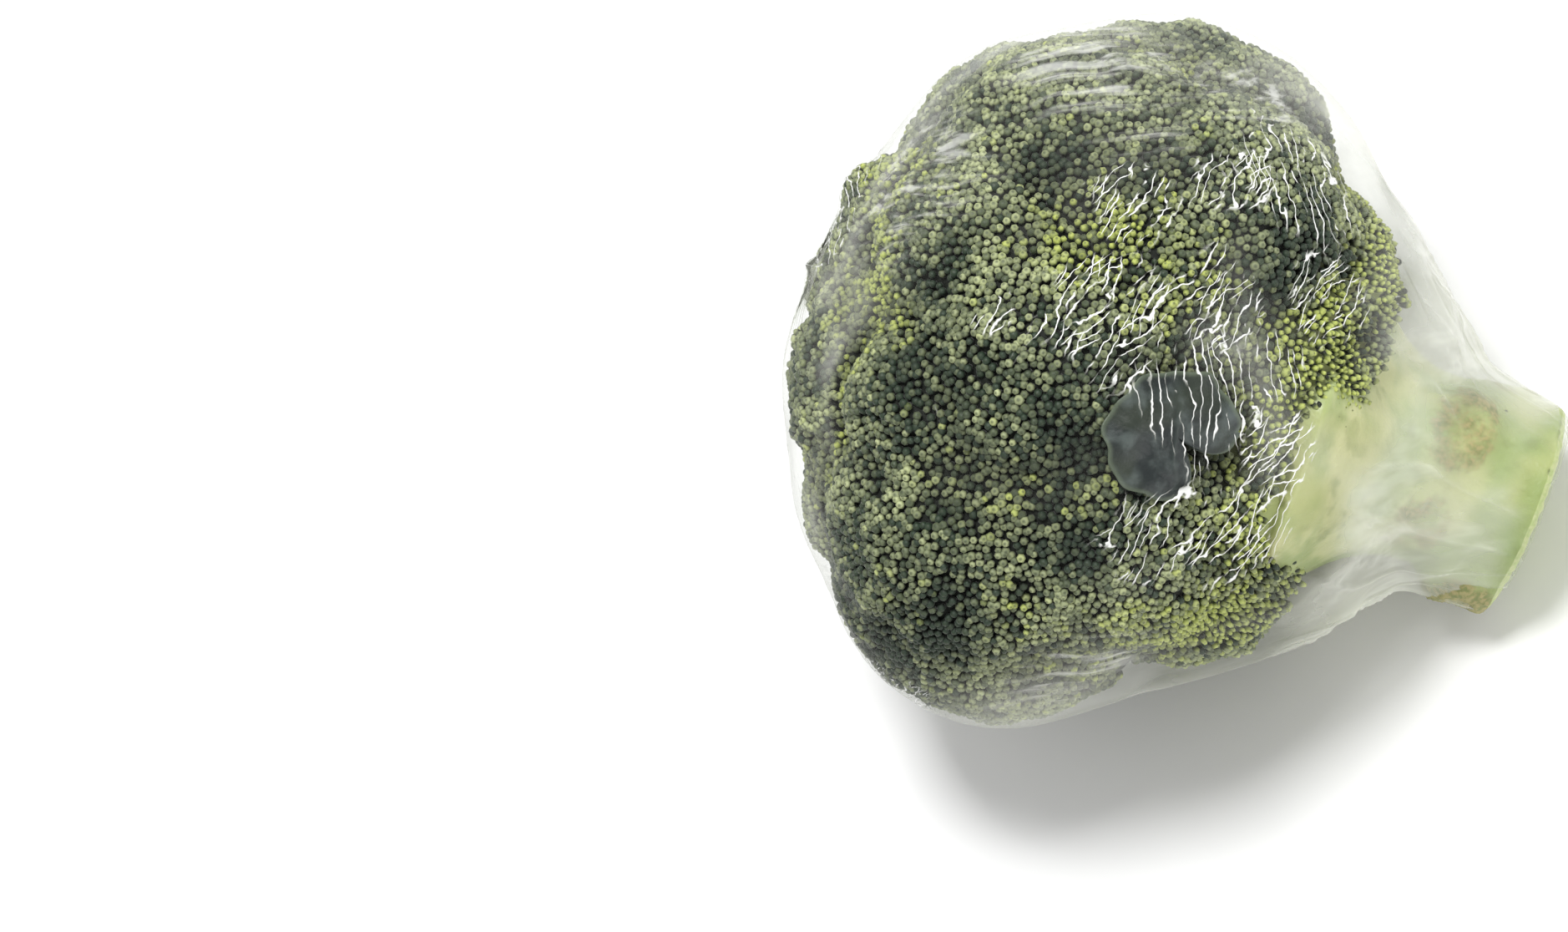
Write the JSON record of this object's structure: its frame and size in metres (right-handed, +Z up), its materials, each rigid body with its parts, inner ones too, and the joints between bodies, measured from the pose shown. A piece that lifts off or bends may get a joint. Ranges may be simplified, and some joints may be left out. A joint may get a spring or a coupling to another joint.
{
  "type": "broccoli head",
  "caption": "Broccoli head with a thick cut stalk, tight domed florets and a small leaf between them, wrapped in clear stretched film and lying on its side.",
  "frame": {"origin": "on the surface that the head lies on, straight below the middle of the crown, on the film's flat resting face", "axes": "+Z up; +X the way that the stalk points along the surface; +Y across the head"},
  "size_m": [0.1534, 0.1486, 0.1329],
  "materials": {
    "stalk": "smooth pale green stem with fibrous scars where leaves were cut off",
    "buds": "closed flower buds, grey green with a waxy bloom, yellower in the creases",
    "leaf": "dark blue green leaf with a waxy bloom",
    "film": "thin clear wrinkled food film"
  },
  "bodies": {
    "root": {"stalk": "stalk", "floret_01": "buds", "floret_02": "buds", "floret_03": "buds", "floret_04": "buds", "floret_05": "buds", "floret_06": "buds", "floret_07": "buds", "floret_08": "buds", "floret_09": "buds", "floret_10": "buds", "floret_11": "buds", "floret_12": "buds", "floret_13": "buds", "floret_14": "buds", "floret_15": "buds", "floret_16": "buds", "floret_17": "buds", "floret_18": "buds", "floret_19": "buds", "floret_20": "buds", "floret_21": "buds", "floret_22": "buds", "floret_23": "buds", "floret_24": "buds", "floret_25": "buds", "floret_26": "buds", "floret_27": "buds", "floret_28": "buds", "leaf": "leaf", "wrap_film": "film"}
  },
  "joints": []
}
